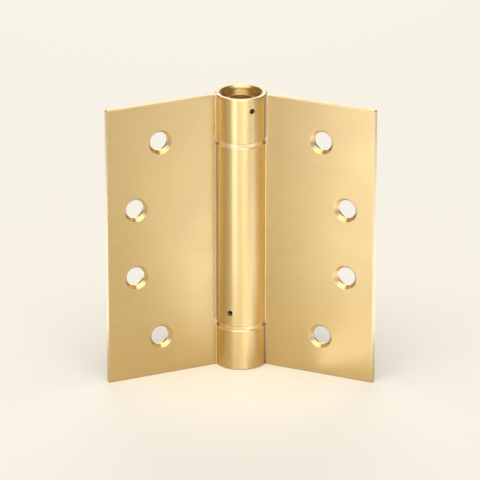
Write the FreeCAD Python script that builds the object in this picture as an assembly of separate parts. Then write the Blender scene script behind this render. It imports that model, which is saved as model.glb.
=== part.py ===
import FreeCAD
import Part

import math
import os

# Single-acting spring hinge, open in a V and standing on the lower edges of its leaves.
# The origin is on the barrel axis in the bottom plane and +Z runs up the barrel. The frame leaf lies
# along -X with its countersunk face towards -Y, and the door leaf swings from it about Z.
# Lengths are in millimetres and angles in degrees.

# Leaves
leaf_height = 114.3
leaf_reach = 57.15  # barrel axis to free edge
sheet = 2.5
leaf_gap = 1.6  # between the countersunk faces when closed
frame_angle = 180.0  # frame leaf's direction from the barrel axis
opening_angle = 130.0  # between the countersunk faces as it stands
edge_break = 0.3  # chamfer along the sheared edges

# Barrel
barrel_diameter = 20.6
root_radius = 0.4  # inside radius where the sheet turns up into the barrel
seam_gap = 0.3  # end of the roll to the back of that bend
top_knuckle = 18.5
bottom_knuckle = 16.8
knuckle_gap = 1.8
notch_clearance = 0.6  # barrel to the notched edge of the other leaf
rim_chamfer = 0.8  # countersink at the two open ends

# Screw holes, a pair near the barrel and a pair near the free edge
screw_hole = 7.5
countersink_diameter = 10.0
countersink_angle = 82.0
near_pair_reach = 34.5
near_pair_spacing = 82.0
far_pair_reach = 45.0
far_pair_spacing = 28.4

# Fits
running_clearance = 0.05  # on radius
end_play = 0.1
turned_chamfer = 0.5

# Pintles, bushes and cap
stem_diameter = 10.0
bush_length = 8.0
flange_inset = 0.5  # flange edge inside the barrel's outside
stem_stand_off = 2.5  # lower stem to the cap
cap_thickness = 4.0
anchor_head = 10.0

# Tension plug
plug_recess = 3.0  # rim of the top knuckle to the plug
well_diameter = 10.0
well_depth = 5.0
socket_flats = 6.35
socket_depth = 5.0
tension_holes = 4
tension_hole_land = 0.8  # wall left at the bottom of each hole

# Pins
pin_hole = 2.3
tension_hole_drop = 4.9  # rim to hole axis
anchor_hole_rise = 5.5  # lower end of the centre knuckle to hole axis
pin_sink = 1.0  # barrel surface to pin
pin_length = 6.5
pin_wall = 0.55
pin_slit = 0.5
pin_hole_spare = 0.5  # hole beyond the pin's end

# Spring, wound left-handed so that opening the hinge tightens it
wire_width = 2.2
wire_height = 3.2
wire_bend = 0.4  # inside radius where the wire turns in to a tang
coil_gap = 0.7
coil_clearance = 0.7  # coil to bore, arbors and the plugs' ends
tang_clearance = 0.15  # each side of a tang in its slot
arbor_grip = 3.0  # arbor beyond the tang
coil_facets = 18  # in each turn
bend_facets = 4
tang_angle = 90.0

# Worked out from the sizes above
UP = FreeCAD.Vector(0, 0, 1)
barrel_radius = barrel_diameter / 2
bore_radius = barrel_radius - sheet
inner_face = -leaf_gap / 2
notch_reach = barrel_radius + notch_clearance
centre_bottom = bottom_knuckle + knuckle_gap
top_bottom = leaf_height - top_knuckle
centre_top = top_bottom - knuckle_gap
door_angle = frame_angle + opening_angle
tension_hole_angle = frame_angle + 90  # square to the leaf, on its countersunk side
anchor_hole_angle = door_angle - 90
tension_hole_height = leaf_height - tension_hole_drop
anchor_hole_height = centre_bottom + anchor_hole_rise
plug_radius = bore_radius - running_clearance
stem_radius = stem_diameter / 2
anchor_head_top = centre_bottom + anchor_head
coil_radius = bore_radius - coil_clearance - wire_width / 2
arbor_radius = coil_radius - wire_width / 2 - coil_clearance
lower_tang = anchor_head_top + coil_clearance + wire_height / 2
upper_tang = centre_top - bush_length - coil_clearance - wire_height / 2
coil_rise = upper_tang - lower_tang
coil_turns = math.floor(coil_rise / (wire_height + coil_gap))
bend_radius = wire_bend + wire_width / 2
bend_distance = coil_radius - bend_radius
bend_centre = FreeCAD.Vector(math.sqrt(bend_distance**2 - bend_radius**2), -bend_radius, 0)
coil_start = -math.degrees(math.asin(bend_radius / bend_distance))
tang_reach = arbor_radius - coil_clearance
slot_width = wire_width + 2 * tang_clearance
slot_margin = wire_height / 2 + tang_clearance


def polar(radius, angle):
    """Point at this radius and angle in the XY plane."""
    turn = math.radians(angle)
    return FreeCAD.Vector(radius * math.cos(turn), radius * math.sin(turn), 0)


def arc(centre, radius, start, end):
    """Edge along a circle, counter-clockwise from the start angle to the end angle."""
    circle = Part.Circle(centre, UP, radius)
    return Part.ArcOfCircle(circle, math.radians(start), math.radians(end)).toShape()


def line(start, end):
    return Part.LineSegment(start, end).toShape()


def turned(outline):
    """Solid of revolution about Z from a closed outline of (radius, height) points."""
    points = [FreeCAD.Vector(radius, 0, height) for radius, height in outline]
    face = Part.Face(Part.makePolygon(points + points[:1]))
    return face.revolve(FreeCAD.Vector(), UP, 360)


def block(low, high):
    """Box between two opposite corners."""
    size = high - low
    return Part.makeBox(size.x, size.y, size.z, low)


def radial_drill(diameter, inner, outer, angle, height):
    """Cylinder along a radius of the barrel."""
    start = polar(inner, angle) + UP * height
    return Part.makeCylinder(diameter / 2, outer - inner, start, polar(1, angle))


def tang_slot(low, high):
    """Slot across the barrel axis, in line with the spring's tangs."""
    half = FreeCAD.Vector(barrel_radius, slot_width / 2, 0)
    slot = block(UP * low - half, UP * high + half)
    return slot.rotate(FreeCAD.Vector(), UP, tang_angle)


def rolled_blank():
    """Full-height leaf along +X with its countersunk face towards +Y and a roll along its whole edge."""
    root_height = inner_face + root_radius
    root_distance = barrel_radius + root_radius
    root = FreeCAD.Vector(math.sqrt(root_distance**2 - root_height**2), root_height, 0)
    back_radius = root_radius + sheet
    back_face = inner_face - sheet
    start = math.degrees(math.asin(root_height / root_distance))
    reach = back_radius + seam_gap
    seam = (barrel_radius**2 + root_distance**2 - reach**2) / (2 * barrel_radius * root_distance)
    end = start + 360 - math.degrees(math.acos(seam))
    front_corner = FreeCAD.Vector(leaf_reach, inner_face, 0)
    back_corner = FreeCAD.Vector(leaf_reach, back_face, 0)
    axis = FreeCAD.Vector()
    outline = [
        line(front_corner, FreeCAD.Vector(root.x, inner_face, 0)),
        arc(root, root_radius, 180 + start, 270),
        arc(axis, barrel_radius, start, end),
        line(polar(barrel_radius, end), polar(bore_radius, end)),
        arc(axis, bore_radius, start, end),
        arc(root, back_radius, 180 + start, 270),
        line(FreeCAD.Vector(root.x, back_face, 0), back_corner),
        line(back_corner, front_corner),
    ]
    return Part.Face(Part.Wire(outline)).extrude(UP * leaf_height)


def notched(blank, spans):
    """Blank without its roll over each span of height, where the other leaf's knuckles go."""
    for low, high in spans:
        corner = FreeCAD.Vector(-barrel_radius - sheet, -barrel_radius - sheet, low)
        far_corner = FreeCAD.Vector(notch_reach, barrel_radius + sheet, high)
        blank = blank.cut(block(corner, far_corner))
    return blank


def edges_broken(leaf):
    """Leaf with a small chamfer along its outline and round the ends of its knuckles."""
    outline = [edge for edge in leaf.Edges if edge.BoundBox.XMax > leaf_reach - edge_break]
    rims = [
        edge
        for edge in leaf.Edges
        if edge.Curve.TypeId == "Part::GeomCircle" and edge.Curve.Radius > barrel_radius - edge_break
    ]
    return leaf.makeChamfer(edge_break, outline + rims)


def screw_drill(reach, height):
    """Clearance hole with its countersink in the leaf's +Y face."""
    flare = (countersink_diameter - screw_hole) / 2
    depth = flare / math.tan(math.radians(countersink_angle / 2))
    into_leaf = FreeCAD.Vector(0, -1, 0)
    mouth = FreeCAD.Vector(reach, inner_face, height)
    cone = Part.makeCone(countersink_diameter / 2, screw_hole / 2, depth, mouth, into_leaf)
    return cone.fuse(Part.makeCylinder(screw_hole / 2, 2 * sheet, mouth, into_leaf))


def with_screw_holes(leaf):
    pairs = [(near_pair_reach, near_pair_spacing), (far_pair_reach, far_pair_spacing)]
    for reach, spacing in pairs:
        for side in (-1, 1):
            leaf = leaf.cut(screw_drill(reach, leaf_height / 2 + side * spacing / 2))
    return leaf


def rim_countersinks():
    """Cones that open out the bore at the two ends of the barrel."""
    wide = bore_radius + rim_chamfer
    low = Part.makeCone(wide, bore_radius, rim_chamfer)
    high = Part.makeCone(bore_radius, wide, rim_chamfer, UP * (leaf_height - rim_chamfer))
    return low.fuse(high)


def frame_leaf():
    """Leaf with the top and bottom knuckles."""
    leaf = notched(rolled_blank(), [(bottom_knuckle, top_bottom)])
    leaf = with_screw_holes(edges_broken(leaf))
    leaf = leaf.rotate(FreeCAD.Vector(), UP, frame_angle)
    leaf = leaf.cut(rim_countersinks())
    drill = radial_drill(pin_hole, 0, 2 * barrel_radius, tension_hole_angle, tension_hole_height)
    return leaf.cut(drill)


def door_leaf():
    """Leaf with the centre knuckle, which holds the spring."""
    leaf = notched(rolled_blank(), [(0, centre_bottom), (centre_top, leaf_height)])
    leaf = with_screw_holes(edges_broken(leaf))
    leaf = leaf.mirror(FreeCAD.Vector(), FreeCAD.Vector(0, 1, 0))
    leaf = leaf.rotate(FreeCAD.Vector(), UP, door_angle)
    drill = radial_drill(pin_hole, 0, 2 * barrel_radius, anchor_hole_angle, anchor_hole_height)
    return leaf.cut(drill)


def bush(seat, flange):
    """Flanged bush pressed down into the knuckle whose upper end is at the seat height."""
    bore = stem_radius + running_clearance
    edge = barrel_radius - flange_inset
    return turned(
        [
            (bore, seat + flange),
            (edge, seat + flange),
            (edge, seat),
            (bore_radius, seat),
            (bore_radius, seat - bush_length),
            (bore, seat - bush_length),
        ]
    )


def upper_bush():
    return bush(centre_top, knuckle_gap - end_play)


def lower_bush():
    return bush(bottom_knuckle, knuckle_gap)


def tension_plug():
    """Plug that winds the spring: key socket, ring of pin holes, stem and slotted arbor."""
    top = leaf_height - plug_recess
    shoulder = top_bottom - end_play
    well_floor = top - well_depth
    stem_end = centre_top - bush_length
    arbor_end = upper_tang - wire_height / 2 - arbor_grip
    plug = turned(
        [
            (0, well_floor),
            (well_diameter / 2, well_floor),
            (well_diameter / 2, top),
            (plug_radius - turned_chamfer, top),
            (plug_radius, top - turned_chamfer),
            (plug_radius, shoulder),
            (stem_radius, shoulder),
            (stem_radius, stem_end),
            (arbor_radius, stem_end),
            (arbor_radius, arbor_end),
            (0, arbor_end),
        ]
    )
    corner = socket_flats / math.sqrt(3)
    hexagon = [polar(corner, 60 * side) + UP * (well_floor - socket_depth) for side in range(7)]
    socket = Part.Face(Part.makePolygon(hexagon)).extrude(UP * socket_depth)
    plug = plug.cut(socket)
    hole_end = well_diameter / 2 + tension_hole_land
    for index in range(tension_holes):
        angle = tension_hole_angle + 360 * index / tension_holes
        plug = plug.cut(radial_drill(pin_hole, hole_end, barrel_radius, angle, tension_hole_height))
    return plug.cut(tang_slot(arbor_end, upper_tang + slot_margin))


def anchor_plug():
    """Plug pinned in the centre knuckle: slotted arbor above, lower pintle below."""
    arbor_top = lower_tang + wire_height / 2 + arbor_grip
    stem_end = cap_thickness + stem_stand_off
    plug = turned(
        [
            (0, arbor_top),
            (arbor_radius, arbor_top),
            (arbor_radius, anchor_head_top),
            (plug_radius, anchor_head_top),
            (plug_radius, centre_bottom),
            (stem_radius, centre_bottom),
            (stem_radius, stem_end + turned_chamfer),
            (stem_radius - turned_chamfer, stem_end),
            (0, stem_end),
        ]
    )
    plug = plug.cut(tang_slot(lower_tang - slot_margin, arbor_top))
    hole_end = barrel_radius - pin_sink - pin_length - pin_hole_spare
    return plug.cut(
        radial_drill(pin_hole, hole_end, barrel_radius, anchor_hole_angle, anchor_hole_height)
    )


def anchor_pin():
    """Slotted spring pin from just under the barrel's surface into the anchor plug."""
    outer = barrel_radius - pin_sink
    place = (outer - pin_length, outer, anchor_hole_angle, anchor_hole_height)
    tube = radial_drill(pin_hole, *place).cut(radial_drill(pin_hole - 2 * pin_wall, *place))
    half = FreeCAD.Vector(0, pin_slit / 2, 0)
    low = FreeCAD.Vector(0, 0, anchor_hole_height)
    slit = block(low - half, low + half + FreeCAD.Vector(outer, 0, pin_hole))
    return tube.cut(slit.rotate(FreeCAD.Vector(), UP, anchor_hole_angle))


def bottom_cap():
    """Cap pressed into the bottom knuckle, flush with the leaf's lower edge."""
    return turned(
        [
            (0, 0),
            (bore_radius - turned_chamfer, 0),
            (bore_radius, turned_chamfer),
            (bore_radius, cap_thickness),
            (0, cap_thickness),
        ]
    )


def wire_section(point, heading):
    """Corners of the wire's upright section across its path, which heads this way in plan."""
    side = polar(wire_width / 2, heading + 90)
    rise = UP * (wire_height / 2)
    return [point + side + rise, point - side + rise, point - side - rise, point + side - rise]


def tang_sections():
    """Sections of a tang, from its tip across the barrel axis and round its bend to the coil."""
    sections = [wire_section(FreeCAD.Vector(-tang_reach, 0, 0), 0)]
    for step in range(bend_facets + 1):
        angle = 90 + (coil_start - 90) * step / bend_facets
        sections.append(wire_section(bend_centre + polar(bend_radius, angle), angle - 90))
    return sections


def coil_sections():
    """Sections of the left-hand coil between its two tangs."""
    sections = []
    facets = coil_turns * coil_facets
    swept = 360 * coil_turns + 2 * coil_start
    for step in range(1, facets):
        angle = coil_start - swept * step / facets
        point = polar(coil_radius, angle) + UP * (coil_rise * step / facets)
        sections.append(wire_section(point, angle - 90))
    return sections


def flat_face(corners):
    return Part.Face(Part.makePolygon(corners + corners[:1]))


def skinned(sections):
    """Solid with flat facets between each section and the next."""
    faces = [flat_face(sections[0]), flat_face(sections[-1])]
    for near, far in zip(sections, sections[1:]):
        for index in range(len(near)):
            faces.append(flat_face([near[index - 1], near[index], far[index]]))
            faces.append(flat_face([near[index - 1], far[index], far[index - 1]]))
    return Part.makeSolid(Part.makeShell(faces))


def torsion_spring():
    """Rectangular-wire coil with a tang bent in across the barrel axis at each end."""
    lower = tang_sections()
    upper = []
    for section in reversed(lower):
        turned_over = [FreeCAD.Vector(corner.x, -corner.y, coil_rise - corner.z) for corner in section]
        upper.append([turned_over[index] for index in (3, 2, 1, 0)])
    spring = skinned(lower + coil_sections() + upper)
    spring.translate(UP * lower_tang)
    return spring.rotate(FreeCAD.Vector(), UP, tang_angle)


PIECES = [
    frame_leaf,
    door_leaf,
    upper_bush,
    lower_bush,
    tension_plug,
    torsion_spring,
    anchor_plug,
    anchor_pin,
    bottom_cap,
]


def main():
    os.makedirs("parts", exist_ok=True)
    for piece in PIECES:
        shape = piece()
        shape.exportStep(os.path.join("parts", piece.__name__ + ".step"))


if __name__ == "__main__":
    main()
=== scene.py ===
"""Finishes, spring and studio stage of a spring hinge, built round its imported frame."""

import math

import bmesh
import bpy
from mathutils import Matrix, Vector


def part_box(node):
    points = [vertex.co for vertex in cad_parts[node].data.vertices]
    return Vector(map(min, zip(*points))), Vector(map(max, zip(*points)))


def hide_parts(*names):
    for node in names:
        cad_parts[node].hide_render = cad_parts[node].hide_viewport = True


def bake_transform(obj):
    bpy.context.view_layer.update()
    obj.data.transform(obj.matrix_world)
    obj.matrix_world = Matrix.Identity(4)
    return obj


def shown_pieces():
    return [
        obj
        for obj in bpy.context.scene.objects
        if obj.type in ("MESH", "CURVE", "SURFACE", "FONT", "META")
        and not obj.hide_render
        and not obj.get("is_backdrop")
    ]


bl_info = {
    "name": "Spring hinge",
    "version": (1, 0, 0),
    "blender": (4, 5, 0),
    "location": "View3D > Sidebar > Hinge",
    "description": "Finishes a spring hinge and sets up its studio stage",
    "category": "Object",
}

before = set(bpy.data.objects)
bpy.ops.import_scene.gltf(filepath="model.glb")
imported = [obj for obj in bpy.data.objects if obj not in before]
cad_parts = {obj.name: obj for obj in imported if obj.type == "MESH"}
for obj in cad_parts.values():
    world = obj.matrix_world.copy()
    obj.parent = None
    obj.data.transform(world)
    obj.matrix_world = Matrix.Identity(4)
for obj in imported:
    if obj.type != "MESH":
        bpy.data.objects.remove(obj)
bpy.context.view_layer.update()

SPRING_LOW, SPRING_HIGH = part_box("torsion_spring")
DOOR_LOW, DOOR_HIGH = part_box("door_leaf")
UP = Vector((0, 0, 1))
MM_PER_METRE = 1000.0


# Settings


class HingeFinishSettings(bpy.types.PropertyGroup):
    """Colours and surface sizes of the hinge's metals."""

    brass_colour: bpy.props.FloatVectorProperty(
        name="Satin brass", description="Brushed and lacquered brass of the two leaves",
        subtype="COLOR", size=3, min=0, max=1, default=(0.575, 0.398, 0.138))
    # Tarnish colour of the drifting patches, also used as the painted shade in seams, roots and
    # countersinks
    brass_tarnish_and_shade: bpy.props.FloatVectorProperty(
        name="Brass tarnish and shade", description="Brass gone dull in seams, roots and countersinks",
        subtype="COLOR", size=3, min=0, max=1, default=(0.20, 0.115, 0.04))
    brass_bright: bpy.props.FloatVectorProperty(
        name="Rubbed brass", description="Brass rubbed bright along the edges",
        subtype="COLOR", size=3, min=0, max=1, default=(0.93, 0.77, 0.47))
    plug_colour: bpy.props.FloatVectorProperty(
        name="Turned brass", description="Tension plug and bottom cap",
        subtype="COLOR", size=3, min=0, max=1, default=(0.76, 0.55, 0.26))
    bronze_colour: bpy.props.FloatVectorProperty(
        name="Bearing bronze", description="The two flanged bushes",
        subtype="COLOR", size=3, min=0, max=1, default=(0.72, 0.50, 0.23))
    steel_colour: bpy.props.FloatVectorProperty(
        name="Turned steel", description="Anchor plug inside the barrel",
        subtype="COLOR", size=3, min=0, max=1, default=(0.56, 0.56, 0.57))
    spring_colour: bpy.props.FloatVectorProperty(
        name="Spring steel", description="Oiled dark steel of the spring and the anchor pin",
        subtype="COLOR", size=3, min=0, max=1, default=(0.06, 0.06, 0.065))
    brass_roughness: bpy.props.FloatProperty(
        name="Brass roughness", description="Mean roughness of the brushed leaves",
        subtype="FACTOR", min=0, max=1, default=0.42)
    brass_stretch: bpy.props.FloatProperty(
        name="Brass stretch", description="How far the strokes draw reflections out across them",
        subtype="FACTOR", min=0, max=1, default=0.6)
    lacquer_weight: bpy.props.FloatProperty(
        name="Lacquer", description="Share of the leaves' clear lacquer that is left",
        subtype="FACTOR", min=0, max=1, default=0.7)
    lacquer_roughness: bpy.props.FloatProperty(
        name="Lacquer roughness", description="Roughness of the leaves' clear lacquer",
        subtype="FACTOR", min=0, max=1, default=0.28)
    plug_roughness: bpy.props.FloatProperty(
        name="Turned brass roughness", description="Mean roughness of the tension plug and bottom cap",
        subtype="FACTOR", min=0, max=1, default=0.34)
    bronze_roughness: bpy.props.FloatProperty(
        name="Bronze roughness", description="Mean roughness of the two bushes",
        subtype="FACTOR", min=0, max=1, default=0.38)
    steel_roughness: bpy.props.FloatProperty(
        name="Turned steel roughness", description="Mean roughness of the anchor plug",
        subtype="FACTOR", min=0, max=1, default=0.32)
    stroke_pitch: bpy.props.FloatProperty(
        name="Stroke pitch", description="Distance between brush strokes on the leaves",
        subtype="DISTANCE", unit="LENGTH", min=0.00002, default=0.00011)
    stroke_length: bpy.props.FloatProperty(
        name="Stroke length", description="Length of a brush stroke on the leaves",
        subtype="DISTANCE", unit="LENGTH", min=0.0005, default=0.014)
    turning_pitch: bpy.props.FloatProperty(
        name="Turning pitch", description="Distance between tool marks on turned pieces",
        subtype="DISTANCE", unit="LENGTH", min=0.00002, default=0.00018)
    wear_width: bpy.props.FloatProperty(
        name="Edge wear width", description="How far the bright rubbed edges reach",
        subtype="DISTANCE", unit="LENGTH", min=0.00005, default=0.00035)
    # Reach of the painted shade out of seams and recesses
    shade_reach: bpy.props.FloatProperty(
        name="Tarnish reach", description="How far tarnish spreads out of seams and recesses",
        subtype="DISTANCE", unit="LENGTH", min=0.0001, default=0.0022)


class HingeSpringSettings(bpy.types.PropertyGroup):
    """Sizes of the rectangular-wire spring in the barrel."""

    wire_width: bpy.props.FloatProperty(
        name="Wire width", description="Wire across the coil, along its radius",
        subtype="DISTANCE", unit="LENGTH", min=0.0005, default=0.0022)
    wire_height: bpy.props.FloatProperty(
        name="Wire height", description="Wire along the barrel",
        subtype="DISTANCE", unit="LENGTH", min=0.0005, default=0.0032)
    wire_bend: bpy.props.FloatProperty(
        name="Wire bend", description="Inside radius where the wire turns in to a tang",
        subtype="DISTANCE", unit="LENGTH", min=0.0001, default=0.0004)
    corner_radius: bpy.props.FloatProperty(
        name="Wire corner", description="Rounding of the drawn wire's corners",
        subtype="DISTANCE", unit="LENGTH", min=0.00002, default=0.00025)
    tang_reach: bpy.props.FloatProperty(
        name="Tang reach", description="Barrel axis to the tip of a tang",
        subtype="DISTANCE", unit="LENGTH", min=0.0005, default=0.0035)
    coil_turns: bpy.props.IntProperty(
        name="Turns", description="Turns from one tang to the other", min=1, default=13)
    turn_steps: bpy.props.IntProperty(
        name="Steps in a turn", description="Faces round each turn", min=8, default=56)
    bend_steps: bpy.props.IntProperty(
        name="Steps in a bend", description="Faces round the bend to a tang", min=2, default=8)


class HingeStageSettings(bpy.types.PropertyGroup):
    """Floor, light and camera."""

    floor_colour: bpy.props.FloatVectorProperty(
        name="Floor", description="Pale floor under the hinge",
        subtype="COLOR", size=3, min=0, max=1, default=(0.93, 0.888, 0.807))
    floor_reach: bpy.props.FloatProperty(
        name="Floor reach", description="Hinge to the edges of the floor",
        subtype="DISTANCE", unit="LENGTH", min=1, default=4)
    world_colour: bpy.props.FloatVectorProperty(
        name="Room light", description="Light from all round",
        subtype="COLOR", size=3, min=0, max=1, default=(1.0, 0.97, 0.92))
    world_strength: bpy.props.FloatProperty(
        name="Room light strength", description="Level of the light from all round",
        min=0, default=0.2)
    card_colour: bpy.props.FloatVectorProperty(
        name="Light cards", description="Cool light that turns the brass's reflections to cream",
        subtype="COLOR", size=3, min=0, max=2, default=(0.85, 0.99, 1.48))
    camera_azimuth: bpy.props.FloatProperty(
        name="Camera azimuth", description="Camera's turn round the barrel",
        subtype="ANGLE", unit="ROTATION", default=math.radians(-25))
    camera_elevation: bpy.props.FloatProperty(
        name="Camera elevation", description="Camera's height above the horizon",
        subtype="ANGLE", unit="ROTATION", default=math.radians(21))
    camera_distance: bpy.props.FloatProperty(
        name="Camera distance", description="Camera to the point that it looks at",
        subtype="DISTANCE", unit="LENGTH", min=0.1, default=1.8)
    camera_lens: bpy.props.FloatProperty(
        name="Lens", description="Focal length in millimetres", min=10, default=338.85)
    camera_sensor: bpy.props.FloatProperty(
        name="Sensor", description="Width of the sensor in millimetres", min=1, default=36)
    camera_aim: bpy.props.FloatVectorProperty(
        name="Camera aim", description="Point at the middle of the picture",
        subtype="TRANSLATION", unit="LENGTH", size=3, default=(-0.0003, 0.0002, 0.0518))


# Node helpers


def feed(tree, socket, value):
    """Links a source to the socket, or sets the socket's own value."""
    if isinstance(value, bpy.types.NodeSocket):
        tree.links.new(value, socket)
    else:
        socket.default_value = value


def add_node(tree, kind, inputs=None, **values):
    """A new node of this kind, with its values set and then its inputs fed."""
    node = tree.nodes.new(kind)
    for name, value in values.items():
        setattr(node, name, value)
    for name, value in (inputs or {}).items():
        feed(tree, node.inputs[name], value)
    return node


def maths(tree, operation, *values):
    """Result of this operation on the values."""
    node = add_node(tree, "ShaderNodeMath", dict(enumerate(values)), operation=operation)
    return node.outputs[0]


def ramp(tree, value, low, high, to_low=0.0, to_high=1.0):
    """Smooth step from to_low, where the value is low, to to_high, where it is high."""
    node = add_node(
        tree, "ShaderNodeMapRange",
        {"Value": value, "From Min": low, "From Max": high, "To Min": to_low, "To Max": to_high},
        interpolation_type="SMOOTHSTEP")
    return node.outputs["Result"]


def blended(tree, factor, below, above):
    """Colour below where the factor is 0 and above where it is 1."""
    node = add_node(tree, "ShaderNodeMix", data_type="RGBA")
    sockets = [socket for socket in node.inputs if socket.enabled]
    feed(tree, sockets[0], factor)
    for socket, colour in zip(sockets[1:], (below, above)):
        feed(tree, socket, colour if isinstance(colour, bpy.types.NodeSocket) else (*colour, 1.0))
    return next(socket for socket in node.outputs if socket.enabled)


def millimetres(tree):
    """Object coordinates in millimetres."""
    place = add_node(tree, "ShaderNodeTexCoord").outputs["Object"]
    scaled = add_node(
        tree, "ShaderNodeVectorMath", {"Vector": place, "Scale": MM_PER_METRE}, operation="SCALE")
    return scaled.outputs[0]


def stretched(tree, place, factors):
    """The place with each coordinate times its factor."""
    return add_node(
        tree, "ShaderNodeVectorMath", {0: place, 1: factors}, operation="MULTIPLY").outputs[0]


def combined(tree, x, y, z):
    """Vector of these three values."""
    return add_node(tree, "ShaderNodeCombineXYZ", {"X": x, "Y": y, "Z": z}).outputs[0]


def noise(tree, vector, scale, detail, roughness):
    """Layered noise at the vector, from 0 to 1."""
    node = add_node(
        tree, "ShaderNodeTexNoise",
        {"Vector": vector, "Scale": scale, "Detail": detail, "Roughness": roughness})
    return node.outputs["Fac"]


# Effects that the finishes share, each built once as a node group. A function here gets the
# group's tree and its input sockets, and returns its outputs by name.

# Scale of a band of strokes against one stroke, how far tool marks wander as they go round, and
# the scale of broad marks against fine ones
BAND_OF_STROKES = (0.35, 0.35, 0.3)
MARK_WANDER = 0.1
BROAD_MARKS = 0.22


def brush_strokes(tree, given):
    """Fine strokes that run level, across a leaf and round the barrel."""
    along = maths(tree, "DIVIDE", 1.0, given["Length mm"])
    across = maths(tree, "DIVIDE", 1.0, given["Pitch mm"])
    strokes = stretched(tree, millimetres(tree), combined(tree, along, along, across))
    bands = stretched(tree, strokes, BAND_OF_STROKES)
    return {
        "Height": noise(tree, strokes, scale=1.0, detail=4.0, roughness=0.65),
        "Tone": noise(tree, bands, scale=1.0, detail=3.0, roughness=0.6),
    }


def turning_marks(tree, given):
    """Tool marks that run round the barrel axis on ends and sides alike."""
    x, y, z = add_node(tree, "ShaderNodeSeparateXYZ", {0: millimetres(tree)}).outputs
    squared = maths(tree, "ADD", maths(tree, "MULTIPLY", x, x), maths(tree, "MULTIPLY", y, y))
    radius = maths(tree, "DIVIDE", maths(tree, "SQRT", squared), given["Pitch mm"])
    rise = maths(tree, "DIVIDE", z, given["Pitch mm"])
    lathe = combined(tree, radius, rise, maths(tree, "MULTIPLY", x, MARK_WANDER))
    return {
        "Height": noise(tree, lathe, scale=1.0, detail=2.0, roughness=0.5),
        "Tone": noise(tree, lathe, scale=BROAD_MARKS, detail=3.0, roughness=0.6),
    }


def edge_wear(tree, given):
    """Mask of the edges that hands, paint brushes and tools rub bright."""
    rounded = add_node(tree, "ShaderNodeBevel", {"Radius": given["Width"]}, samples=6).outputs[0]
    flat = add_node(tree, "ShaderNodeNewGeometry").outputs["True Normal"]
    facing = add_node(tree, "ShaderNodeVectorMath", {0: rounded, 1: flat}, operation="DOT_PRODUCT")
    edge = ramp(tree, facing.outputs["Value"], low=0.998, high=0.86)
    patches = noise(tree, millimetres(tree), scale=0.35, detail=4.0, roughness=0.6)
    patchy = ramp(tree, patches, low=0.3, high=0.62, to_low=0.35)
    return {"Mask": maths(tree, "MULTIPLY", edge, patchy)}


def recess_shading(tree, given):
    """Mask of painted shade in the seams, roots and recesses, taken from ambient occlusion and broken
    into patches.
    """
    open_sky = add_node(
        tree, "ShaderNodeAmbientOcclusion", {"Distance": given["Reach"]}, samples=8, only_local=True)
    closed = ramp(tree, open_sky.outputs["AO"], low=0.82, high=0.2)
    patches = noise(tree, millimetres(tree), scale=0.5, detail=3.0, roughness=0.55)
    patchy = ramp(tree, patches, low=0.3, high=0.7, to_low=0.55)
    return {"Mask": maths(tree, "MULTIPLY", closed, patchy)}


def tone_drift(tree, given):
    """Slow drift in tone, as lacquered metal has from one hand's breadth to the next."""
    scale = maths(tree, "DIVIDE", 1.0, given["Size mm"])
    return {"Value": noise(tree, millimetres(tree), scale=scale, detail=3.0, roughness=0.5)}


# Each effect's group name, and its inputs with their defaults
EFFECTS = {
    brush_strokes: ("Brush strokes", {"Pitch mm": 0.1, "Length mm": 14.0}),
    turning_marks: ("Turning marks", {"Pitch mm": 0.18}),
    edge_wear: ("Edge wear", {"Width": 0.0004}),
    recess_shading: ("Recess shade", {"Reach": 0.002}),
    tone_drift: ("Tone drift", {"Size mm": 18.0}),
}


def effect_group(build):
    """The effect's node group, built when the first finish asks for it."""
    name, inputs = EFFECTS[build]
    if name in bpy.data.node_groups:
        return bpy.data.node_groups[name]
    tree = bpy.data.node_groups.new(name, "ShaderNodeTree")
    for socket, default in inputs.items():
        item = tree.interface.new_socket(socket, in_out="INPUT", socket_type="NodeSocketFloat")
        item.default_value = default
    results = build(tree, tree.nodes.new("NodeGroupInput").outputs)
    for socket in results:
        tree.interface.new_socket(socket, in_out="OUTPUT", socket_type="NodeSocketFloat")
    add_node(tree, "NodeGroupOutput", results)
    return tree


def effect(tree, build, inputs):
    """Places an effect with these inputs and returns its outputs."""
    return add_node(tree, "ShaderNodeGroup", inputs, node_tree=effect_group(build)).outputs


# Finishes

# Brushed brass: how far strokes and drift change its colour and roughness, how much painted shade in
# the tarnish colour its recesses take, and how much of the rubbed colour its edges take
BRASS_STROKE_TONE = 0.03
BRASS_DRIFT_MM = 16.0
BRASS_DRIFT_TARNISH = 0.05
BRASS_RECESS_SHADE = 0.7
BRASS_EDGE_SHINE = 0.75
BRASS_STROKE_ROUGHNESS = 0.03
BRASS_DRIFT_ROUGHNESS = 0.015
BRASS_EDGE_POLISH = 0.1
BRASS_STROKE_DEPTH = 0.000006

# The strokes' upright, a little off the barrel axis so that level faces have a direction too
STROKE_UPRIGHT = (0.02, 0.01, 1.0)

# Turned metals: the darkest and the brightest mark, the painted shade in recesses and the shine of
# edges
MARK_DARK = 0.9
MARK_BRIGHT = 1.06
RECESS_SHADE = 0.75
SHADE_TONE = 0.25
EDGE_SHINE = 0.6
SHINE_TONE = 0.4
SHINE_WHITE = 0.55
MARK_ROUGHNESS = 0.06
MARK_DEPTH = 0.000008

# Spring steel: its mottled scale, the bare edges and the film of oil
MOTTLE_MM = 5.0
MOTTLE_DARK = 0.75
MOTTLE_BRIGHT = 1.3
BARE_EDGE = 0.5
BARE_TONE = 2.6
SCALE_DEPTH = 0.00001
OIL_WEIGHT = 0.4
OIL_ROUGHNESS = 0.15


def metal(name):
    """A new material with a metallic shader, as (material, tree, shader)."""
    material = bpy.data.materials.new(name)
    material.use_nodes = True
    shader = material.node_tree.nodes["Principled BSDF"]
    shader.inputs["Metallic"].default_value = 1.0
    return material, material.node_tree, shader


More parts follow.
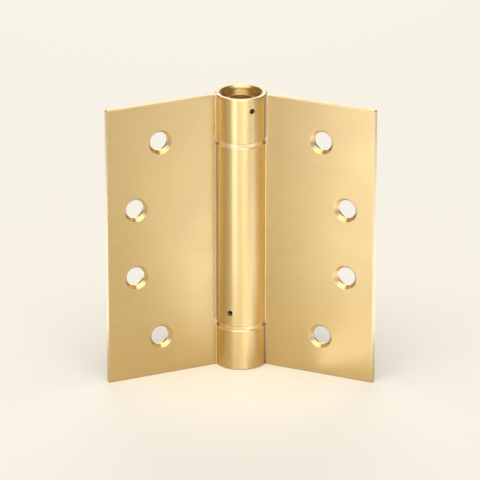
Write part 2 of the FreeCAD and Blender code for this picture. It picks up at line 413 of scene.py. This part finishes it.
def surface(tree, shader, colour, roughness, height, depth):
    """Joins colour, roughness and a relief of this depth in metres to the shader."""
    relief = add_node(
        tree, "ShaderNodeBump", {"Strength": 1.0, "Distance": depth, "Height": height})
    tree.links.new(colour, shader.inputs["Base Color"])
    tree.links.new(roughness, shader.inputs["Roughness"])
    tree.links.new(relief.outputs[0], shader.inputs["Normal"])


def coat(shader, weight, roughness):
    """Puts a clear layer over the metal."""
    shader.inputs["Coat Weight"].default_value = weight
    shader.inputs["Coat Roughness"].default_value = roughness


def satin_brass(settings):
    """Brass brushed level and lacquered, bright at its edges, with painted shade in its recesses."""
    material, tree, shader = metal("satin_brass_lacquered")
    strokes = effect(tree, brush_strokes, {
        "Pitch mm": settings.stroke_pitch * MM_PER_METRE,
        "Length mm": settings.stroke_length * MM_PER_METRE,
    })
    tone = strokes["Tone"]
    drift = effect(tree, tone_drift, {"Size mm": BRASS_DRIFT_MM})["Value"]
    worn = effect(tree, edge_wear, {"Width": settings.wear_width})["Mask"]
    recess_shade_mask = effect(tree, recess_shading, {"Reach": settings.shade_reach})["Mask"]

    base = Vector(settings.brass_colour)
    stroked = blended(
        tree, ramp(tree, tone, low=0.3, high=0.7),
        base * (1 - BRASS_STROKE_TONE), base * (1 + BRASS_STROKE_TONE))
    aged = ramp(tree, drift, low=0.35, high=0.7, to_high=BRASS_DRIFT_TARNISH)
    drifted = blended(tree, aged, stroked, settings.brass_tarnish_and_shade)
    # Painted shade: the recesses that ambient occlusion finds take the tarnish colour
    shade_share = maths(tree, "MULTIPLY", recess_shade_mask, BRASS_RECESS_SHADE)
    shaded = blended(tree, shade_share, drifted, settings.brass_tarnish_and_shade)
    rubbed = maths(tree, "MULTIPLY", worn, BRASS_EDGE_SHINE)
    colour = blended(tree, rubbed, shaded, settings.brass_bright)

    mean = settings.brass_roughness
    streaky = ramp(
        tree, tone, low=0.25, high=0.75,
        to_low=mean - BRASS_STROKE_ROUGHNESS, to_high=mean + BRASS_STROKE_ROUGHNESS)
    cloudy = ramp(
        tree, drift, low=0.3, high=0.7,
        to_low=-BRASS_DRIFT_ROUGHNESS, to_high=BRASS_DRIFT_ROUGHNESS)
    polish = maths(tree, "MULTIPLY", worn, BRASS_EDGE_POLISH)
    roughness = maths(tree, "SUBTRACT", maths(tree, "ADD", streaky, cloudy), polish)

    surface(tree, shader, colour, roughness, strokes["Height"], BRASS_STROKE_DEPTH)
    tree.links.new(combined(tree, *STROKE_UPRIGHT), shader.inputs["Tangent"])
    shader.inputs["Anisotropic"].default_value = settings.brass_stretch
    coat(shader, settings.lacquer_weight, settings.lacquer_roughness)
    return material


def turned_metal(name, colour_value, mean_roughness, settings):
    """Metal off the lathe, with tool marks round the barrel axis."""
    material, tree, shader = metal(name)
    marks = effect(tree, turning_marks, {"Pitch mm": settings.turning_pitch * MM_PER_METRE})
    tone = marks["Tone"]
    worn = effect(tree, edge_wear, {"Width": settings.wear_width})["Mask"]
    recess_shade_mask = effect(tree, recess_shading, {"Reach": settings.shade_reach})["Mask"]

    base = Vector(colour_value)
    marked = blended(
        tree, ramp(tree, tone, low=0.3, high=0.7), base * MARK_DARK, base * MARK_BRIGHT)
    # Painted shade: the recesses that ambient occlusion finds darken towards a quarter of the base
    # colour
    shaded = blended(tree, maths(tree, "MULTIPLY", recess_shade_mask, RECESS_SHADE), marked, base * SHADE_TONE)
    bright = base * SHINE_TONE + Vector((SHINE_WHITE, SHINE_WHITE, SHINE_WHITE))
    colour = blended(tree, maths(tree, "MULTIPLY", worn, EDGE_SHINE), shaded, bright)
    roughness = ramp(
        tree, tone, low=0.25, high=0.75,
        to_low=mean_roughness - MARK_ROUGHNESS, to_high=mean_roughness + MARK_ROUGHNESS)

    surface(tree, shader, colour, roughness, marks["Height"], MARK_DEPTH)
    return material


def spring_steel(settings):
    """Dark steel with the scale of its heat treatment, under a film of oil."""
    material, tree, shader = metal("spring_steel_oiled")
    drift = effect(tree, tone_drift, {"Size mm": MOTTLE_MM})["Value"]
    worn = effect(tree, edge_wear, {"Width": settings.wear_width})["Mask"]

    base = Vector(settings.spring_colour)
    mottled = blended(
        tree, ramp(tree, drift, low=0.3, high=0.7), base * MOTTLE_DARK, base * MOTTLE_BRIGHT)
    colour = blended(tree, maths(tree, "MULTIPLY", worn, BARE_EDGE), mottled, base * BARE_TONE)
    roughness = ramp(tree, drift, low=0.3, high=0.7, to_low=0.28, to_high=0.42)
    scale = noise(tree, millimetres(tree), scale=6.0, detail=4.0, roughness=0.65)

    surface(tree, shader, colour, roughness, scale, SCALE_DEPTH)
    coat(shader, OIL_WEIGHT, OIL_ROUGHNESS)
    return material


def finish_nodes(material, *names):
    """Gives these carried-over nodes the material."""
    for name in names:
        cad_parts[name].material_slots[0].material = material


class HINGE_OT_finish_leaves(bpy.types.Operator):
    """Finish both leaves in brushed and lacquered brass"""

    bl_idname = "hinge.finish_leaves"
    bl_label = "Finish leaves"

    def execute(self, context):
        finish_nodes(satin_brass(context.scene.hinge_finish), "frame_leaf", "door_leaf")
        return {"FINISHED"}


class HINGE_OT_finish_turned_brass(bpy.types.Operator):
    """Finish the tension plug and the bottom cap in turned brass"""

    bl_idname = "hinge.finish_turned_brass"
    bl_label = "Finish turned brass"

    def execute(self, context):
        settings = context.scene.hinge_finish
        brass = turned_metal(
            "plug_brass_turned", settings.plug_colour, settings.plug_roughness, settings)
        finish_nodes(brass, "tension_plug", "bottom_cap")
        return {"FINISHED"}


class HINGE_OT_finish_bushes(bpy.types.Operator):
    """Finish the two flanged bushes in bearing bronze"""

    bl_idname = "hinge.finish_bushes"
    bl_label = "Finish bushes"

    def execute(self, context):
        settings = context.scene.hinge_finish
        bronze = turned_metal(
            "bush_bronze_turned", settings.bronze_colour, settings.bronze_roughness, settings)
        finish_nodes(bronze, "upper_bush", "lower_bush")
        return {"FINISHED"}


class HINGE_OT_finish_anchor(bpy.types.Operator):
    """Finish the anchor plug in turned steel and its pin in spring steel"""

    bl_idname = "hinge.finish_anchor"
    bl_label = "Finish anchor"

    def execute(self, context):
        settings = context.scene.hinge_finish
        steel = turned_metal(
            "anchor_steel_turned", settings.steel_colour, settings.steel_roughness, settings)
        finish_nodes(steel, "anchor_plug")
        finish_nodes(spring_steel(settings), "anchor_pin")
        return {"FINISHED"}


# Spring

QUARTER_TURN = math.pi / 2
CORNER_SEGMENTS = 3
MERGE_DISTANCE = 1e-7


def turn_section(mesh, section, centre, angle, steps, rise=0.0):
    """Sweeps the wire's section round an upright axis while it climbs, and returns its new place."""
    swept = bmesh.ops.spin(
        mesh, geom=section, cent=centre, axis=UP, dvec=UP * (rise / steps), angle=angle, steps=steps,
        use_merge=False, use_duplicate=False)
    return swept["geom_last"]


def push_section(mesh, section, travel):
    """Extrudes the wire's section straight and returns its new place."""
    pushed = bmesh.ops.extrude_face_region(mesh, geom=section)["geom"]
    corners = [item for item in pushed if isinstance(item, bmesh.types.BMVert)]
    bmesh.ops.translate(mesh, verts=corners, vec=travel)
    return pushed


def wire_section(mesh, sizes):
    """The wire's rounded section, upright at the tip of a tang and facing along it."""
    corners = bmesh.ops.create_grid(mesh, x_segments=1, y_segments=1, size=0.5)["verts"]
    bmesh.ops.scale(mesh, verts=corners, vec=(sizes.wire_width, sizes.wire_height, 1))
    for axis in "XZ":
        bmesh.ops.rotate(
            mesh, verts=corners, cent=Vector(), matrix=Matrix.Rotation(QUARTER_TURN, 3, axis))
    bmesh.ops.translate(mesh, verts=corners, vec=(-sizes.tang_reach, 0, 0))
    bmesh.ops.bevel(
        mesh, geom=corners, offset=sizes.corner_radius, segments=CORNER_SEGMENTS, profile=0.5,
        affect="VERTICES", material=-1)
    return mesh.verts[:] + mesh.edges[:] + mesh.faces[:]


def wind_half(sizes, rise):
    """Half of the spring as a bmesh: a tang along X, its bend and the coil up to half the rise."""
    coil_radius = SPRING_HIGH.x - sizes.wire_width / 2
    bend_radius = sizes.wire_bend + sizes.wire_width / 2
    bend_distance = coil_radius - bend_radius
    bend_centre = Vector((math.sqrt(bend_distance**2 - bend_radius**2), -bend_radius, 0))
    coil_start = -math.asin(bend_radius / bend_distance)
    half_sweep = math.pi * sizes.coil_turns + coil_start
    half_steps = sizes.coil_turns * sizes.turn_steps // 2

    mesh = bmesh.new()
    section = wire_section(mesh, sizes)
    section = push_section(mesh, section, Vector((bend_centre.x + sizes.tang_reach, 0, 0)))
    section = turn_section(mesh, section, bend_centre, coil_start - QUARTER_TURN, sizes.bend_steps)
    turn_section(mesh, section, Vector(), -half_sweep, half_steps, rise / 2)
    bmesh.ops.remove_doubles(mesh, verts=mesh.verts, dist=MERGE_DISTANCE)
    bmesh.ops.recalc_face_normals(mesh, faces=mesh.faces)
    return mesh


class HINGE_OT_build_spring(bpy.types.Operator):
    """Wind the rectangular-wire spring in two halves"""

    bl_idname = "hinge.build_spring"
    bl_label = "Build spring"

    def execute(self, context):
        sizes = context.scene.hinge_spring
        rise = SPRING_HIGH.z - SPRING_LOW.z - sizes.wire_height
        mesh = wind_half(sizes, rise)
        seat = Matrix.Translation(UP * (SPRING_LOW.z + sizes.wire_height / 2))
        place = seat @ Matrix.Rotation(QUARTER_TURN, 4, "Z")
        as_wound = Matrix.Identity(4)
        end_for_end = Matrix.Translation(UP * rise) @ Matrix.Rotation(math.pi, 4, "X")
        tang_top = SPRING_LOW.z + sizes.wire_height
        tang_foot = SPRING_HIGH.z - sizes.wire_height
        middle = (SPRING_LOW.z + SPRING_HIGH.z) / 2
        middle_foot = middle - sizes.wire_height / 2
        middle_top = middle + sizes.wire_height / 2
        # In the hinge, the lower tang turns with the door leaf and the upper one with the tension
        # plug, while the middle turn stays still; each half's bodies are only listed here
        lower_bodies = ("door_leaf", "frame_leaf")
        upper_bodies = ("frame_leaf", "tension_plug")
        for name, turn, bodies, low, high in (
            ("spring_lower_half", as_wound, lower_bodies, tang_top, middle_foot),
            ("spring_upper_half", end_for_end, upper_bodies, middle_top, tang_foot),
        ):
            data = bpy.data.meshes.new(name)
            mesh.to_mesh(data)
            data.transform(place @ turn)
            data.materials.append(bpy.data.materials["spring_steel_oiled"])
            half = bpy.data.objects.new(name, data)
            context.scene.collection.objects.link(half)
            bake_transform(half)
            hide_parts("torsion_spring")
        mesh.free()
        return {"FINISHED"}


# Stage


def round_barrel(azimuth, distance, height):
    """A point this far from the barrel axis, with the azimuth in degrees."""
    angle = math.radians(azimuth)
    return Vector((distance * math.cos(angle), distance * math.sin(angle), height))


HINGE_MIDDLE = Vector((0, 0, 0.055))
FLOOR_ROUGHNESS = 0.9
BARREL = Vector()
DOOR_LEAF_END = Vector((DOOR_HIGH.x, DOOR_LOW.y, 0))

# Edges of a low card that leans away from the hinge: distance and height
NEAR_EDGE = (0.08, 0.002)
FAR_EDGE = (0.34, 0.052)

# Light cards that only the hinge sees: name, the point that the card is lined up with, its
# azimuth from there, width, radiance, and then the lower and the upper edge, each as its
# distance from that point and its height
CARDS = (
    ("right_card", BARREL, 298, 0.07, 1.62, NEAR_EDGE, FAR_EDGE),
    ("foot_card", BARREL, 280, 0.025, 1.1, (0.03, 0.001), (0.10, 0.008)),
    ("left_card", DOOR_LEAF_END, 197, 0.05, 1.5, (0.09, 0.002), FAR_EDGE),
    ("left_strip", BARREL, 219, 0.05, 5.0, (0.25, 0.0), (0.25, 0.20)),
    ("front_panel", BARREL, 262, 0.32, 10.2, (1.0, 0.0), (1.0, 0.40)),
    ("middle_panel", BARREL, 243, 0.26, 3.2, (1.0, 0.0), (1.0, 0.40)),
    ("throat_panel", BARREL, 245, 1.20, 3.2, (0.90, 0.35), (0.70, 0.80)),
    ("rear_panel", BARREL, 65, 0.24, 5.0, (1.0, 0.0), (1.0, 0.12)),
    ("rear_left_card", BARREL, 136, 0.07, 1.5, NEAR_EDGE, FAR_EDGE),
    ("rear_right_card", BARREL, 354, 0.07, 1.5, NEAR_EDGE, FAR_EDGE),
)


def lay_floor(scene, stage):
    """The pale matt floor under the hinge."""
    mesh = bmesh.new()
    bmesh.ops.create_grid(mesh, x_segments=1, y_segments=1, size=stage.floor_reach)
    data = bpy.data.meshes.new("studio_floor")
    mesh.to_mesh(data)
    mesh.free()
    paint = bpy.data.materials.new("floor_paint")
    paint.use_nodes = True
    shader = paint.node_tree.nodes["Principled BSDF"]
    shader.inputs["Base Color"].default_value = (*stage.floor_colour, 1)
    shader.inputs["Roughness"].default_value = FLOOR_ROUGHNESS
    shader.inputs["Specular IOR Level"].default_value = 0.0
    data.materials.append(paint)
    floor = bpy.data.objects.new("studio_floor", data)
    scene.collection.objects.link(floor)
    floor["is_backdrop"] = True


def light_room(scene, stage):
    """Even light from all round."""
    world = bpy.data.worlds.new("studio_room")
    world.use_nodes = True
    background = world.node_tree.nodes["Background"]
    background.inputs["Color"].default_value = (*stage.world_colour, 1)
    background.inputs["Strength"].default_value = stage.world_strength
    scene.world = world


def softbox(scene, name, place, aim, width, height, radiance, colour=(1, 1, 1)):
    """A rectangular studio light of this brightness that faces the aim."""
    light = bpy.data.lights.new(name, "AREA")
    light.shape = "RECTANGLE"
    light.size = width
    light.size_y = height
    light.energy = radiance * math.pi * width * height
    light.color = colour
    lamp = bpy.data.objects.new(name, light)
    lamp.location = place
    lamp.rotation_euler = (aim - place).to_track_quat("-Z", "Y").to_euler()
    lamp.visible_camera = False
    scene.collection.objects.link(lamp)
    return lamp


def hang_softboxes(scene):
    """The two lights that the floor sees too."""
    softbox(
        scene, "overhead_softbox", place=Vector((-0.2, -0.3, 1.6)), aim=HINGE_MIDDLE,
        width=1.6, height=1.6, radiance=3.0)
    softbox(
        scene, "back_panel", place=round_barrel(azimuth=65, distance=1.2, height=0.7),
        aim=HINGE_MIDDLE, width=1.0, height=0.6, radiance=2.8)


def stand_cards(scene, stage):
    """The light cards that the brushed brass mirrors."""
    hinge_only = bpy.data.collections.new("hinge_pieces")
    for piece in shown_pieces():
        hinge_only.objects.link(piece)
    for name, origin, azimuth, width, radiance, lower, upper in CARDS:
        low = origin + round_barrel(azimuth, *lower)
        high = origin + round_barrel(azimuth, *upper)
        slope = high - low
        facing = slope.cross(UP.cross(round_barrel(azimuth, 1, 0)))
        place = (low + high) / 2
        card = softbox(
            scene, name, place, place + facing, width, slope.length, radiance, stage.card_colour)
        card.light_linking.receiver_collection = hinge_only


def aim_camera(scene, stage):
    """The camera at the photograph's viewing angle."""
    data = bpy.data.cameras.new("photo_camera")
    data.sensor_width = stage.camera_sensor
    data.lens = stage.camera_lens
    camera = bpy.data.objects.new("photo_camera", data)
    azimuth, elevation = stage.camera_azimuth, stage.camera_elevation
    level = math.cos(elevation)
    back = Vector((math.sin(azimuth) * level, -math.cos(azimuth) * level, math.sin(elevation)))
    camera.location = Vector(stage.camera_aim) + back * stage.camera_distance
    camera.rotation_euler = (-back).to_track_quat("-Z", "Y").to_euler()
    scene.collection.objects.link(camera)
    scene.camera = camera


class HINGE_OT_build_stage(bpy.types.Operator):
    """Set up the pale floor, the soft studio light and the camera"""

    bl_idname = "hinge.build_stage"
    bl_label = "Build stage"

    def execute(self, context):
        scene = context.scene
        stage = scene.hinge_stage
        scene.view_settings.view_transform = "Standard"
        lay_floor(scene, stage)
        light_room(scene, stage)
        hang_softboxes(scene)
        stand_cards(scene, stage)
        aim_camera(scene, stage)
        return {"FINISHED"}


# Sidebar and registration


class HINGE_PT_sidebar(bpy.types.Panel):
    """The hinge's finishes, spring and stage"""

    bl_idname = "HINGE_PT_sidebar"
    bl_label = "Spring hinge"
    bl_space_type = "VIEW_3D"
    bl_region_type = "UI"
    bl_category = "Hinge"

    def draw(self, context):
        scene = context.scene
        for operator in OPERATORS:
            self.layout.operator(operator.bl_idname)
        for settings in (scene.hinge_finish, scene.hinge_spring, scene.hinge_stage):
            column = self.layout.column()
            for name in settings.__annotations__:
                column.prop(settings, name)


OPERATORS = (
    HINGE_OT_finish_leaves,
    HINGE_OT_finish_turned_brass,
    HINGE_OT_finish_bushes,
    HINGE_OT_finish_anchor,
    HINGE_OT_build_spring,
    HINGE_OT_build_stage,
)
SETTINGS = (HingeFinishSettings, HingeSpringSettings, HingeStageSettings)
CLASSES = (*SETTINGS, *OPERATORS, HINGE_PT_sidebar)


def register():
    for cls in CLASSES:
        bpy.utils.register_class(cls)
    bpy.types.Scene.hinge_finish = bpy.props.PointerProperty(type=HingeFinishSettings)
    bpy.types.Scene.hinge_spring = bpy.props.PointerProperty(type=HingeSpringSettings)
    bpy.types.Scene.hinge_stage = bpy.props.PointerProperty(type=HingeStageSettings)


def unregister():
    del bpy.types.Scene.hinge_stage
    del bpy.types.Scene.hinge_spring
    del bpy.types.Scene.hinge_finish
    for cls in reversed(CLASSES):
        bpy.utils.unregister_class(cls)


def main():
    """Registers the classes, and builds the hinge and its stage."""
    register()
    bpy.ops.hinge.finish_leaves()
    bpy.ops.hinge.finish_turned_brass()
    bpy.ops.hinge.finish_bushes()
    bpy.ops.hinge.finish_anchor()
    bpy.ops.hinge.build_spring()
    bpy.ops.hinge.build_stage()


if __name__ == "__main__":
    main()
